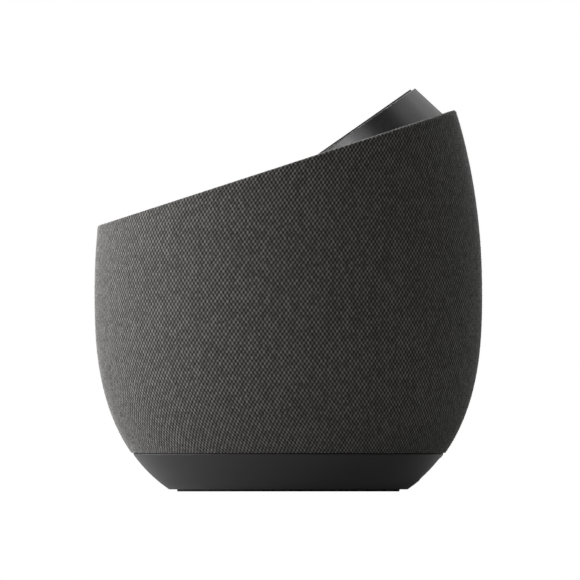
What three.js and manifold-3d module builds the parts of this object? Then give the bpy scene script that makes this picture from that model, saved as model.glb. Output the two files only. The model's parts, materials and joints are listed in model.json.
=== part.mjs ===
// Smart speaker with a sloping top, a cradle that charges a phone and two push-push woofers.
// Millimetres, +Z up, origin on the ground under the middle of the body.
// The front of the speaker faces -Y and its back +Y. "Left" is the -X side.
import * as THREE from "three";
import { mergeVertices } from "three/addons/utils/BufferGeometryUtils.js";
import Module from "manifold-3d";

const wasm = await Module();
wasm.setup();

// ---------------------------------------------------------------- driving dimensions
const GAP = 0.3; // clearance between neighbouring pieces
const TURN = 28; // facets round the large turned pieces
const FAR = 300; // larger than the whole object, for cutting blocks

const BODY = { radius: 81, widest: 83.6, lower: 94.94, upper: 150.24 };
const RIM = { height: 136.9, tilt: 18 }; // the plane that slices the top off the body
const SEAM = 15.65; // where the fabric ends and the base begins
const FOOT = { inner: 40, outer: 46.5, height: 2.2, clear: 0.85 };
const SLEEVE_WALL = 0.8;
const SHELL = { inset: 1.1, wall: 2.2, slots: 14, slotWidth: 6, slotLow: 30, slotHigh: 98 };
const BASE = { inset: 0.28, wall: 2.5, floorTop: 4.35, edge: 1.0, spigot: 61.5, spigotTop: 22 };

const DECK = { recess: 1.2, thick: 2.5, inset: 3.6 };
const CRADLE = {
  tilt: 35, apexY: 52.98, apexZ: 168.65, radius: 45.5, length: 86, corner: 8, draft: 12,
  wall: 2.5, floor: 2.6, padInset: 1.8, padProud: 0.75, padRecess: 0.7,
};
const COIL = { down: 29, inner: 10, outer: 22, ferrite: 23.5, carrier: 25.5 };

const BUTTON = { radius: 5, pitch: 17, row: -47, travel: 0.6, proud: 0.35 };
const LIGHT = { length: 15, width: 1.2, row: -58 };
const MICROPHONE = { across: 60, row: -20, hole: 0.8 };

const TUB = { low: 24, high: 102, radius: 64, side: 57, front: 58, wall: 3 };
const LID = { gasket: 1.2, thick: 3 };
const WOOFER_HEIGHT = 63.5;
const FULLRANGE = { height: 66, scale: 0.52 };

const BASE_SCREW_CIRCLE = 43.3;
const DECK_POST = { radius: 64, angles: [40, 140, 215, 325], tabDrop: 9 };

// ---------------------------------------------------------------- solids
const deg = THREE.MathUtils.degToRad;
const v2 = (x, y) => new THREE.Vector2(x, y);
const tanRim = Math.tan(deg(RIM.tilt));

// Height of the rim plane, or of a plane parallel to it, above a point's y.
const rimHeight = (y, drop = 0) => RIM.height - drop / Math.cos(deg(RIM.tilt)) + y * tanRim;

function toSolid(geometry) {
  const bare = geometry.index ? geometry.toNonIndexed() : geometry.clone();
  const points = new THREE.BufferGeometry();
  points.setAttribute("position", bare.getAttribute("position"));
  const merged = mergeVertices(points, 1e-3);
  const mesh = new wasm.Mesh({
    numProp: 3,
    vertProperties: merged.attributes.position.array,
    triVerts: new Uint32Array(merged.index.array),
  });
  return new wasm.Manifold(mesh);
}

function toGeometry(solid) {
  const mesh = solid.getMesh();
  const geometry = new THREE.BufferGeometry();
  geometry.setAttribute("position", new THREE.BufferAttribute(mesh.vertProperties, 3));
  geometry.setIndex(new THREE.BufferAttribute(mesh.triVerts, 1));
  geometry.computeVertexNormals();
  return geometry;
}

const fold = (method) => (first, ...others) =>
  toGeometry(others.flat().reduce((made, next) => made[method](toSolid(next)), toSolid(first)));
const cut = fold("subtract");
const join = fold("add");
const common = fold("intersect");

// A turned piece about +Z from [radius, height] points; a profile off the axis is closed.
function turn(profile, segments = TURN) {
  const points = profile.map(([r, z]) => v2(r, z));
  if (THREE.ShapeUtils.area(points) < 0) points.reverse();
  const closed = points[0].x > 0 || points.at(-1).x > 0;
  if (closed) points.push(points[0].clone());
  return new THREE.LatheGeometry(points, segments).rotateX(Math.PI / 2);
}

const cylinder = (radius, low, high, segments = 16) =>
  new THREE.CylinderGeometry(radius, radius, high - low, segments)
    .rotateX(Math.PI / 2)
    .translate(0, 0, (low + high) / 2);

const block = (x0, x1, y0, y1, z0, z1) =>
  new THREE.BoxGeometry(x1 - x0, y1 - y0, z1 - z0)
    .translate((x0 + x1) / 2, (y0 + y1) / 2, (z0 + z1) / 2);

function prism(shape, low, high) {
  const options = { depth: high - low, bevelEnabled: false };
  return new THREE.ExtrudeGeometry(shape, options).translate(0, 0, low);
}

// Points round an arc, with angles in degrees.
function arc(x, y, radius, from, to, steps) {
  return Array.from({ length: steps + 1 }, (_, i) => {
    const angle = deg(from + ((to - from) * i) / steps);
    return v2(x + radius * Math.cos(angle), y + radius * Math.sin(angle));
  });
}

// Places a geometry in a frame tilted back about X, with its origin at (0, y, z).
const tilted = (geometry, tilt, y, z) => geometry.rotateX(deg(tilt)).translate(0, y, z);
const onRim = (geometry, drop = 0) => tilted(geometry, RIM.tilt, 0, rimHeight(0, drop));
const onCradle = (geometry) => tilted(geometry, CRADLE.tilt, CRADLE.apexY, CRADLE.apexZ);
const halfSpace = (low, high) => block(-FAR, FAR, -FAR, FAR, low, high);

const around = (count, first = 0) =>
  Array.from({ length: count }, (_, i) => deg(first) + (i * 2 * Math.PI) / count);

// ---------------------------------------------------------------- the object
const speaker = new THREE.Group();

const COLOURS = {
  fabric: [0x4b4a48, 0.95, 0], case: [0x3a3a3b, 0.5, 0], rubber: [0x161616, 0.9, 0],
  pad: [0x262627, 0.8, 0], steel: [0x9a9a9c, 0.35, 1], board: [0x1d3b2a, 0.6, 0],
  paper: [0x2a2825, 0.85, 0], ferrite: [0x2b2a2c, 0.7, 0], copper: [0xb06a3c, 0.4, 1],
  magnet: [0x4b4b4e, 0.5, 1], aluminium: [0xb4b6b8, 0.4, 1], light: [0xe6ecf0, 0.3, 0],
};

function add(name, material, geometry, parent = speaker) {
  const [color, roughness, metalness] = COLOURS[material];
  const look = new THREE.MeshStandardMaterial({ color, roughness, metalness });
  const mesh = new THREE.Mesh(geometry, look);
  mesh.name = name;
  parent.add(mesh);
  return mesh;
}

// ---------------------------------------------------------------- body profile
// The side of the body: a super-ellipse below its widest height, an ellipse above it.
function bodyRadius(z) {
  const drop = BODY.widest - z;
  const inside = drop > 0
    ? (1 - (drop / BODY.lower) ** 2.596) ** (1 / 2.513)
    : (1 - (drop / BODY.upper) ** 2) ** 0.5;
  return BODY.radius * inside;
}

function profile(low, high, inset, steps) {
  return Array.from({ length: steps + 1 }, (_, i) => {
    const z = low + ((high - low) * i) / steps;
    return [bodyRadius(z) - inset, z];
  });
}

// Shared heights, so that nested walls keep their clearance between facets.
const lowerRows = (inset) => profile(SEAM, BODY.widest, inset, 5).slice(1);
const upperRows = (inset) => profile(BODY.widest, BODY.widest + BODY.radius, inset, 4).slice(1);

// The wall between two insets of the body's side, sliced off parallel to the rim.
function bodyWall(low, outer, wall, drop) {
  const outside = [[bodyRadius(low) - outer, low], ...lowerRows(outer), ...upperRows(outer)];
  const inside = outside.map(([r, z]) => [r - wall, z]).reverse();
  return cut(turn([...outside, ...inside]), onRim(halfSpace(0, FAR), drop));
}

// ---------------------------------------------------------------- casing
function fabricSleeve() {
  return bodyWall(SEAM + GAP / 2, 0, SLEEVE_WALL, 0);
}

const tabAngles = DECK_POST.angles.map(deg);
const atAngle = (geometry, radius, angle) => geometry.translate(radius, 0, 0).rotateZ(angle);
const tabTop = (angle) => rimHeight(DECK_POST.radius * Math.sin(angle)) - DECK_POST.tabDrop;

// The plastic basket under the fabric, with tall sound slots and four tabs for the deck.
function grilleShell() {
  const wall = bodyWall(SEAM + GAP, SHELL.inset, SHELL.wall, 1);
  const envelope = turn([[0, SEAM], ...profile(SEAM, 170, SHELL.inset + 1, 6), [0, 170]]);
  const tabs = tabAngles.map((angle) => {
    const top = tabTop(angle);
    const tab = block(-5, 20, -5, 5, top - 3, top);
    return common(atAngle(tab, DECK_POST.radius, angle), envelope);
  });
  const holes = tabAngles.map((angle) =>
    atAngle(cylinder(1.6, 60, 170, 8), DECK_POST.radius, angle));
  const slots = around(SHELL.slots, 180 / TURN).map((angle) => {
    const half = SHELL.slotWidth / 2;
    return block(60, 90, -half, half, SHELL.slotLow, SHELL.slotHigh).rotateZ(angle);
  });
  return cut(join(wall, tabs), slots, holes);
}

const screwSpots = around(4, 45).map((angle) =>
  [BASE_SCREW_CIRCLE * Math.cos(angle), BASE_SCREW_CIRCLE * Math.sin(angle)]);
const atSpots = (make) => screwSpots.map(([x, y]) => make().translate(x, y, 0));

// The bowl that carries everything: foot groove, screw bosses, board posts, power recess.
function baseBowl() {
  const { clear } = FOOT;
  const groove = clear + 1.45;
  const outside = profile(clear + BASE.edge, SEAM - GAP / 2, BASE.inset, 5);
  const inside = profile(7, 13.5, BASE.inset + BASE.wall, 2).reverse();
  const bowl = turn([
    [0, clear], [FOOT.inner - GAP, clear], [FOOT.inner - GAP, groove],
    [FOOT.outer + GAP, groove], [FOOT.outer + GAP, clear], [bodyRadius(clear) - 1.6, clear],
    ...outside,
    [BASE.spigot, SEAM - GAP / 2], [BASE.spigot, BASE.spigotTop],
    [BASE.spigot - 2.2, BASE.spigotTop], ...inside, [51, BASE.floorTop], [0, BASE.floorTop],
  ]);
  const bosses = atSpots(() => cylinder(4.5, BASE.floorTop - 1, 9, 10));
  const posts = [[-36, -20], [36, -20], [-36, 20], [36, 20]].map(([x, y]) =>
    cylinder(2.5, BASE.floorTop - 1, 9.7, 8).translate(x, y, 0));
  const bores = atSpots(() => cylinder(1.9, 0, 12, 8));
  const counterbores = atSpots(() => cylinder(3.5, 0, 5.3, 8));
  return cut(join(bowl, bosses, posts), bores, counterbores, block(-7, 7, 40, 70, 4.9, 14.1));
}

function footRing() {
  const { inner, outer, height } = FOOT;
  return turn([
    [inner, 0.4], [inner + 0.4, 0], [outer - 0.4, 0], [outer, 0.4],
    [outer, height - 0.2], [inner, height - 0.2],
  ]);
}

// A pan-head screw with its head at the bottom, at the height "seat", pointing up.
function screw(head, shank, length, seat) {
  return turn([
    [0, seat - head * 0.7], [head * 0.8, seat - head * 0.7], [head, seat - head * 0.4],
    [head, seat], [shank, seat], [shank, seat + length - 1], [0, seat + length],
  ], 8);
}

add("fabric_sleeve", "fabric", fabricSleeve());
add("grille_shell", "case", grilleShell());
add("base_bowl", "case", baseBowl());
add("foot_ring", "rubber", footRing());
screwSpots.forEach(([x, y], i) =>
  add(`base_screw_${i + 1}`, "steel", screw(3, 1.3, 24, 5)).position.set(x, y, 0));
tabAngles.forEach((angle, i) => {
  const seat = tabTop(angle) - 3 - GAP;
  const spot = atAngle(screw(2.6, 1.1, 7, seat), DECK_POST.radius, angle);
  add(`deck_screw_${i + 1}`, "steel", spot);
});

// ---------------------------------------------------------------- power in the base
function powerInlet() {
  const housing = block(-6.5, 6.5, 42, 54, 5.4, 13.6);
  const bore = cylinder(3.1, 44, 60, 16).rotateX(-Math.PI / 2).translate(0, 0, 9.5);
  const pin = cylinder(1, 43, 53, 10).rotateX(-Math.PI / 2).translate(0, 0, 9.5);
  return join(cut(housing, bore), pin);
}

function amplifierBoard() {
  const outline = new THREE.Shape([
    v2(-42, -25), v2(42, -25), v2(42, 25), v2(14, 25), v2(14, 40), v2(-14, 40),
    v2(-14, 25), v2(-42, 25),
  ]);
  const capacitors = [[-28, -10], [-28, 8], [30, -12]].map(([x, y]) =>
    cylinder(5, 11, 20, 12).translate(x, y, 0));
  const inductors = [-6, 8].map((x) => block(x - 5, x + 5, 27, 37, 11, 17));
  return join(prism(outline, 10, 11.6), capacitors, inductors);
}

function amplifierHeatsink() {
  const fins = Array.from({ length: 6 }, (_, i) =>
    block(-15.5 + i * 6, -14 + i * 6, -16, 12, 13, 20.5));
  return join(block(-17, 17, -16, 12, 11.9, 14), fins);
}

add("dc_inlet", "case", powerInlet());
add("amplifier_board", "board", amplifierBoard());
add("amplifier_heatsink", "aluminium", amplifierHeatsink());

// ---------------------------------------------------------------- acoustic enclosure
// A round outline with two side flats for the woofers and one for the full-range driver.
function enclosureOutline(inset) {
  const radius = TUB.radius - inset;
  const side = TUB.side - inset;
  const front = TUB.front - inset;
  const corner = THREE.MathUtils.radToDeg(Math.asin(front / radius));
  const cheek = THREE.MathUtils.radToDeg(Math.acos(side / radius));
  return new THREE.Shape([
    ...arc(0, 0, radius, cheek, 180 - cheek, 12),
    ...arc(0, 0, radius, 180 + cheek, 180 + corner, 3),
    ...arc(0, 0, radius, -corner, -cheek, 3),
  ]);
}

const sideways = (geometry, side) =>
  geometry.rotateY(side * Math.PI / 2).translate(side * TUB.side, 0, WOOFER_HEIGHT);
const forwards = (geometry) =>
  geometry.rotateX(Math.PI / 2).translate(0, -TUB.front, FULLRANGE.height);

function enclosureTub() {
  const outer = prism(enclosureOutline(0), TUB.low, TUB.high);
  const hollow = prism(enclosureOutline(TUB.wall), TUB.low + TUB.wall, FAR);
  const holes = [-1, 1].map((side) => sideways(cylinder(36.5, -10, 10, 18), side));
  const port = forwards(cylinder(36.5 * FULLRANGE.scale, -10, 10, 16));
  const posts = atSpots(() => cylinder(4, 9.4, TUB.low + 12, 8));
  const bores = atSpots(() => cylinder(1.7, 0, TUB.low + 8, 8));
  return cut(join(cut(outer, hollow, holes, port), posts), bores);
}

function enclosureGasket() {
  const low = TUB.high + GAP;
  const ring = prism(enclosureOutline(0.3), low, low + LID.gasket);
  return cut(ring, prism(enclosureOutline(TUB.wall - 0.3), 0, FAR));
}

function enclosureLid() {
  const low = TUB.high + LID.gasket + 2 * GAP;
  const plate = prism(enclosureOutline(0), low, low + LID.thick);
  const posts = [[-38, -4], [38, -4], [-38, 38], [38, 38]].map(([x, y]) =>
    cylinder(3, low + 1, low + LID.thick + 3.4, 10).translate(x, y, 0));
  return join(plate, posts);
}

add("enclosure_tub", "case", enclosureTub());
add("enclosure_gasket", "rubber", enclosureGasket());
add("enclosure_lid", "case", enclosureLid());

// ---------------------------------------------------------------- drivers
// Each driver is drawn with its axis up, its mounting face at height 0 and its magnet below.
function driver(segments) {
  const frame = turn([
    [38.5, 0.3], [38.5, 2.6], [34, 2.6], [33, 0.3], [23, -19], [14, -19], [14, -21],
    [24.5, -21], [35.5, 0.3],
  ], segments);
  const windows = [0, 90].map((angle) => block(-40, 40, -8, 8, -16, -4).rotateZ(deg(angle)));
  return {
    frame: cut(frame, windows),
    surround: turn([
      [38, 2.9], [38, 3.6], [34, 3.6], [32.9, 6], [29.8, 6], [28.7, 3.6], [28.7, 2.9],
      [29.5, 2.9], [30.4, 5.2], [32.3, 5.2], [33.2, 2.9],
    ], segments),
    spider: turn([
      [13.4, -13], [13.4, -13.6], [17, -14.4], [21, -12.8], [25.3, -13.6], [25.3, -13],
      [21, -12.1], [17, -13.7],
    ], segments),
    cone: turn([
      [0, -4.6], [6, -5.6], [11.5, -8.4], [28.2, 3.6], [28.2, 2.8], [13, -9.2], [13, -26],
      [12.3, -26], [12.3, -9.6], [6, -6.4], [0, -5.4],
    ], segments),
    magnet: turn([[15.5, -21.3], [21, -21.3], [21, -30.5], [15.5, -30.5]], segments),
    yoke: turn([
      [0, -20], [11.8, -20], [11.8, -30.8], [21, -30.8], [21, -34], [0, -34],
    ], segments),
  };
}

const wooferMaterials = {
  frame: "case", surround: "rubber", spider: "paper", cone: "paper", magnet: "magnet",
  yoke: "steel",
};

for (const [word, side] of [["left", -1], ["right", 1]]) {
  for (const [piece, geometry] of Object.entries(driver(18)))
    add(`woofer_${piece}_${word}`, wooferMaterials[piece], sideways(geometry, side));
}

const { frame, surround, cone } = driver(14);
const magnet = turn([[0, -22.5], [12, -22.5], [12, -29], [21, -29], [21, -34], [0, -34]], 14);
for (const [piece, geometry] of Object.entries({ frame, surround, cone, magnet })) {
  const { scale } = FULLRANGE;
  add(`fullrange_${piece}`, wooferMaterials[piece], forwards(geometry.scale(scale, scale, scale)));
}

// ---------------------------------------------------------------- top deck and cradle
// The cradle's arch, drawn with its crown at the origin and its foot down the slope, -Y.
function arch(grow) {
  const radius = CRADLE.radius + grow;
  const corner = CRADLE.corner + grow;
  const foot = -CRADLE.length - grow;
  return new THREE.Shape([
    ...arc(0, -CRADLE.radius, radius, 0, 180, 16),
    ...arc(-radius + corner, foot + corner, corner, 180, 270, 3),
    ...arc(radius - corner, foot + corner, corner, 270, 360, 3),
  ]);
}

// A column along the cradle's normal, with heights counted from its sloping face.
const archColumn = (grow, low, high) => onCradle(prism(arch(grow), low, high));

// The same, widening downwards at the draft angle.
function archWedge() {
  const depth = 40;
  const wedge = prism(arch(0), -depth, 1);
  const centre = -CRADLE.radius;
  const spread = Math.tan(deg(CRADLE.draft)) * depth;
  const points = wedge.attributes.position;
  for (let i = 0; i < points.count; i++) {
    if (points.getZ(i) > -depth / 2) continue;
    const x = points.getX(i);
    const y = points.getY(i);
    const away = Math.hypot(x, Math.max(0, y - centre));
    const grow = (away + spread) / away;
    points.setXY(i, x * grow, y > centre ? centre + (y - centre) * grow : y);
  }
  return onCradle(wedge);
}

const aboveDeck = (clear) => onRim(halfSpace(clear, FAR), DECK.recess);
const buttonSpots = [-2, -1, 0, 1, 2].map((i) => i * BUTTON.pitch);
const slotShape = (half, radius) => new THREE.Shape([
  ...arc(half, 0, radius, -90, 90, 4), ...arc(-half, 0, radius, 90, 270, 4),
]);

// The sloping plate: a trough for the phone's foot, button holes, a light slot, sound holes.
function topDeck() {
  const rows = upperRows(DECK.inset);
  const disc = turn([[0, rows[0][1]], ...rows, [0, rows.at(-1)[1]]]);
  const plate = common(disc, onRim(halfSpace(-DECK.thick, 3), DECK.recess));
  const trough = archColumn(2, -3.4, 40);
  const posts = tabAngles.map((angle) => {
    const low = tabTop(angle) + GAP;
    return atAngle(cylinder(3.2, low, low + 20, 8), DECK_POST.radius, angle);
  });
  const threads = tabAngles.map((angle) => {
    const low = tabTop(angle);
    return atAngle(cylinder(1.5, low - 5, low + 4.4, 8), DECK_POST.radius, angle);
  });
  const inDeck = (geometry) => onRim(geometry, DECK.recess);
  const buttonHoles = buttonSpots.map((x) =>
    inDeck(cylinder(BUTTON.radius + GAP, -6, 2, 14).translate(x, BUTTON.row, 0)));
  const soundHoles = [-1, 1].map((side) => inDeck(cylinder(MICROPHONE.hole, -6, 2, 8)
    .translate(side * MICROPHONE.across, MICROPHONE.row, 0)));
  const slot = slotShape(LIGHT.length / 2, LIGHT.width / 2 + GAP);
  const lightSlot = inDeck(prism(slot, -6, 2).translate(0, LIGHT.row, 0));
  const opening = archColumn(0, -40, 60);
  const plain = cut(join(plate, trough, posts), aboveDeck(0));
  return cut(plain, opening, buttonHoles, soundHoles, lightSlot, threads);
}

// The hollow wedge whose sloping face the phone lies on; its skirt drops into the deck.
function cradleWedge() {
  const hood = common(archWedge(), aboveDeck(GAP));
  const skirtPlane = tilted(halfSpace(-FAR, 0), 27.4, 0, 119.8);
  const skirt = cut(archColumn(-GAP, -30, 1), skirtPlane);
  const aboveFace = onCradle(halfSpace(0, FAR));
  const hollow = archColumn(-GAP - CRADLE.wall, -60, -CRADLE.floor);
  const recess = archColumn(GAP - CRADLE.padInset, -CRADLE.padRecess - GAP, 5);
  return cut(join(hood, skirt), aboveFace, hollow, recess);
}

function chargingPad() {
  return archColumn(-CRADLE.padInset, -CRADLE.padRecess, CRADLE.padProud);
}

add("top_deck", "case", topDeck());
add("cradle_wedge", "case", cradleWedge());
add("charging_pad", "pad", chargingPad());

// The charging coil hangs under the sloping face, drawn in the cradle's own frame.
const cradle = new THREE.Group();
cradle.position.set(0, CRADLE.apexY, CRADLE.apexZ);
cradle.rotation.x = deg(CRADLE.tilt);
speaker.add(cradle);

const face = -CRADLE.floor;
const ring = (inner, outer, low, high, segments) =>
  turn([[inner, low], [outer, low], [outer, high], [inner, high]], segments);
const coilParts = {
  charging_coil: ["copper", ring(COIL.inner, COIL.outer, face - 1.5, face - GAP, 24)],
  ferrite_disc: ["ferrite", cylinder(COIL.ferrite, face - 2.8, face - 1.8, 24)],
  coil_carrier: ["case", turn([
    [0, face - 4.6], [COIL.carrier, face - 4.6], [COIL.carrier, face - GAP],
    [COIL.carrier - 1.4, face - GAP], [COIL.carrier - 1.4, face - 3.1], [0, face - 3.1],
  ], 24)],
};
for (const [name, [material, geometry]] of Object.entries(coilParts))
  add(name, material, geometry, cradle).position.y = -COIL.down;

function chargerBoard() {
  const chips = [[-10, -42], [8, -50]].map(([x, y]) =>
    block(x - 4, x + 4, y - 4, y + 4, face - 9.2, face - 7.6));
  return join(block(-24, 24, -62, -22, face - 8, face - 6.4), chips);
}
add("charger_board", "board", chargerBoard(), cradle);

// ---------------------------------------------------------------- boards, buttons, light
const lidTop = TUB.high + LID.gasket + 2 * GAP + LID.thick;

function mainBoard() {
  const low = lidTop + 3.4 + GAP;
  const sockets = [-1, 1].map((side) => block(side * 30 - 5, side * 30 + 5, 4, 10, low, low + 5));
  const memory = block(-8, 8, 33, 41, low, low + 2.8);
  return join(block(-44, 44, -8, 44, low, low + 1.6), sockets, memory);
}

function shieldCan() {
  const low = lidTop + 3.4 + 1.6 + 2 * GAP;
  const outer = block(-20, 20, 0, 30, low, low + 3.2);
  return cut(outer, block(-19.4, 19.4, 0.6, 29.4, low - 1, low + 2.6));
}

add("main_board", "board", mainBoard());
add("shield_can", "steel", shieldCan());

const deck = new THREE.Group();
deck.position.set(0, 0, rimHeight(0, DECK.recess));
deck.rotation.x = deg(RIM.tilt);
speaker.add(deck);

const BUTTON_BOARD_TOP = -8.2;
const plungerEnd = -DECK.thick - 3.4;

// A round key: cap through the deck, retaining flange under it, plunger over its switch.
function button() {
  const { radius, proud } = BUTTON;
  const flange = -DECK.thick - 0.4;
  return turn([
    [0, plungerEnd], [1.6, plungerEnd], [1.6, flange - 1], [radius + 1.5, flange - 1],
    [radius + 1.5, flange], [radius, flange], [radius, proud - 0.4], [radius - 0.4, proud],
    [0, proud],
  ], 14);
}

function buttonBoard() {
  const domes = buttonSpots.map((x) =>
    cylinder(3, BUTTON_BOARD_TOP - 0.5, BUTTON_BOARD_TOP + 1.4, 8).translate(x, BUTTON.row, 0));
  const top = BUTTON_BOARD_TOP;
  const board = block(-44, 44, BUTTON.row - 14, BUTTON.row + 8, top - 1.6, top);
  return join(board, domes);
}

const buttonNames = ["mic_mute", "volume_down", "play_pause", "volume_up", "pairing"];
buttonNames.forEach((name, i) =>
  add(`${name}_button`, "case", button(), deck).position.set(buttonSpots[i], BUTTON.row, 0));
add("button_board", "board", buttonBoard(), deck);

const pipe = prism(slotShape(LIGHT.length / 2, LIGHT.width / 2), BUTTON_BOARD_TOP + GAP, -0.05);
add("light_pipe", "light", pipe, deck).position.y = LIGHT.row;

for (const [word, side] of [["left", -1], ["right", 1]]) {
  const box = block(-2.2, 2.2, -1.6, 1.6, -DECK.thick - 1.5, -DECK.thick - GAP);
  const x = side * MICROPHONE.across;
  add(`microphone_${word}`, "steel", box, deck).position.set(x, MICROPHONE.row, 0);
}

export default speaker;
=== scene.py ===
"""Smart speaker: fabric body, moulded base, sloping deck, phone cradle and keys."""
import json
import math

import bmesh
import bpy
import numpy as np
from mathutils import Matrix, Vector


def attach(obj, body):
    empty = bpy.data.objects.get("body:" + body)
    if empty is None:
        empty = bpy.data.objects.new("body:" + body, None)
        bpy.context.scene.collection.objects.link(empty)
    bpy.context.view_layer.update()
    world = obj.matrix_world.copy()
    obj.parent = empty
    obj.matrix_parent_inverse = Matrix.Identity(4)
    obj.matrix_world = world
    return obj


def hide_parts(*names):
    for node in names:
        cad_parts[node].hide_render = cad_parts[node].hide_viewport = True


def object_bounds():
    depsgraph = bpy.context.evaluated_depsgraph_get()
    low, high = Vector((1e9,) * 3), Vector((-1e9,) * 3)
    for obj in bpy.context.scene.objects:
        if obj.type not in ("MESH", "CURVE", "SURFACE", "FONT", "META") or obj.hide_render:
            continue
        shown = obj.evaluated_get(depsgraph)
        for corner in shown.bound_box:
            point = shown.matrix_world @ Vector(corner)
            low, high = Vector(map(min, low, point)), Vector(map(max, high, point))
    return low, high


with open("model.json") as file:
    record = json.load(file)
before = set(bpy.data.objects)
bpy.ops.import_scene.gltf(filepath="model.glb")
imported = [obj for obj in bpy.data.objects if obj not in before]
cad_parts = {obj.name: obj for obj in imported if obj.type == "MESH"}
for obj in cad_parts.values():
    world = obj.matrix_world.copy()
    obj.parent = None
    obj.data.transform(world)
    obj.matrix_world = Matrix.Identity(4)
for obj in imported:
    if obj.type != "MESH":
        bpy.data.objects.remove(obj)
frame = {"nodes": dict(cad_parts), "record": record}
cad_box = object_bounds()
BODY = "speaker_body"
MM = 0.001
rng = np.random.default_rng(7)

# ------------------------------------------------------------ dimensions, in millimetres
RADIUS = (cad_box[1].x - cad_box[0].x) / 2 / MM
WIDEST = 83.6  # height of the widest part
LOWER, UPPER = 94.94, 150.24  # half heights of the curves below and above it
LOWER_POWERS = (2.596, 2.513)  # of the super-ellipse below it: height, radius
RIM_HEIGHT, RIM_TILT = 136.9, math.radians(18)
SEAM = 15.65
BASE_EDGE = SEAM - 0.05  # top of the base's visible wall
SEAM_GAP = 0.42  # between the base's edge and the cloth's hem
BASE_INSET = 0.28  # of the base's wall behind the cloth's outline
SPIGOT_OUTER, SPIGOT_INNER, SPIGOT_TOP = 61.5, 59.3, 21.8  # the ring inside the shell
BOWL_RADIUS, BOWL_BEND = 57.4, 9.0  # where the bowl's inner wall turns in
BOWL_FLOOR_RADIUS, BOWL_FLOOR = 51.0, 4.4
DISH_RADIUS, DISH_RISE = 36.0, 0.3  # the shallow dish in the underside
FOOT_INNER, FOOT_OUTER, FOOT_TOP, FOOT_CLEAR = 40.0, 46.5, 2.0, 0.85
GROOVE_DEPTH, GROOVE_GAP = 1.3, 0.3  # of the foot's groove
RECESS_HALF, RECESS_LOW, RECESS_HIGH, RECESS_CORNER = 7.0, 4.9, 14.1, 2.0
RECESS_REACH = (75, 40)  # along Y, from outside the wall to inside the bowl
INLET_Y, INLET_Z, INLET_THICK = 54.0, 9.5, 2.0
INLET_ACROSS, INLET_UP, INLET_CORNER = 6.6, 4.2, 1.6  # half sizes of its face
SOCKET_RADIUS, SOCKET_WALL, SOCKET_LENGTH, SOCKET_END = 3.0, 0.8, 10.0, 1.0
PIN_RADIUS, PIN_LENGTH = 0.95, 8.4
DECK_DROP, DECK_THICK, DECK_INSET = 1.2, 2.5, 4.5
CRADLE_TILT = math.radians(35)
APEX_Y, APEX_Z = 52.98, 168.65
ARCH_RADIUS, ARCH_LENGTH, ARCH_CORNER = 45.5, 86.0, 8.0
DRAFT = math.radians(12)
LAND = 1.6  # the cradle's face between its edge and the pad's recess
EDGE_CROWN, EDGE_FLANK = 0.15, 0.5  # radius of the cradle's edge at its crown and its flanks
LIP = 0.2  # how far the flanks' edge stands above the face
LEAST_WALL, WALL_INSIDE = 1.6, 3.2  # the cradle's wall where it is sunk, and its inner side
SUNK_GAP = 0.3  # between the sunk end of the cradle and the trough
TROUGH_GAP, TROUGH_OUTER, TROUGH_DEPTH, TROUGH_DROP = 0.05, 2.0, 3.2, 0.5
PAD_INSET, PAD_PROUD, PAD_RECESS, PAD_EDGE = 1.8, 0.75, 0.7, 0.3
BUTTON_RADIUS, BUTTON_PITCH, BUTTON_ROW, BUTTON_GAP = 5.0, 17.0, -47.0, 0.3
KEY_PROUD, KEY_EDGE, KEY_DISH, KEY_HOLLOW = 0.35, 0.35, 4.3, 0.22
FLANGE_RADIUS, FLANGE_THICK, STEM_RADIUS, STEM_LENGTH = 6.5, 1.0, 1.6, 3.4
LIGHT_LENGTH, LIGHT_WIDTH, LIGHT_ROW, LIGHT_GAP, LIGHT_DEEP = 15.0, 1.2, -58.0, 0.15, 7.5
MIC_ACROSS, MIC_ROW, MIC_RADIUS = 60.0, -20.0, 0.8
DOTS_ROUND = 284  # raised threads round the widest part
ROW_PITCH = 1.25  # between rows of raised threads, along the wall
SHRINK = 0.28  # how far the cloth's columns spread where the body narrows
TAN_RIM = math.tan(RIM_TILT)


def body_radius(z):
    """The body's radius at a height: a super-ellipse below the widest part."""
    drop = WIDEST - np.asarray(z, float)
    low = (1 - np.clip(drop / LOWER, 0, 1) ** LOWER_POWERS[0]) ** (1 / LOWER_POWERS[1])
    high = np.sqrt(1 - (np.minimum(drop, 0) / UPPER) ** 2)
    return RADIUS * np.where(drop > 0, low, high)


# ------------------------------------------------------------ mesh helpers
def make(name, points, faces, material, slot=None, body=BODY, replaces=()):
    """A piece from points in millimetres, shaded smooth except at sharp edges."""
    mesh = bpy.data.meshes.new(name)
    mesh.from_pydata(np.asarray(points, float) * MM, [], faces)
    mesh.validate()
    piece = bpy.data.objects.new(name, mesh)
    bpy.context.scene.collection.objects.link(piece)
    finish_piece(piece, material, body, replaces)
    return piece


def finish_piece(piece, material, body, replaces, sharp=35):
    """Material, shading, body and hidden replaced parts of a piece whose mesh is done."""
    mesh = piece.data
    mesh.materials.clear()
    mesh.materials.append(material)
    mesh.shade_smooth()
    mesh.set_sharp_from_angle(angle=math.radians(sharp))
    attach(piece, body)
    if replaces:
        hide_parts(*replaces)


def loft(loops, closed=False):
    """Points and faces of a skin through loops of one length, with flat caps if it's open."""
    count = len(loops[0])
    points = [p for loop in loops for p in loop]
    faces = []
    pairs = len(loops) if closed else len(loops) - 1
    for a in range(pairs):
        b = (a + 1) % len(loops)
        for i in range(count):
            j = (i + 1) % count
            faces.append((a * count + i, a * count + j, b * count + j, b * count + i))
    if not closed:
        faces.append(tuple(reversed(range(count))))
        faces.append(tuple(range((len(loops) - 1) * count, len(loops) * count)))
    return points, faces


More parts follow.
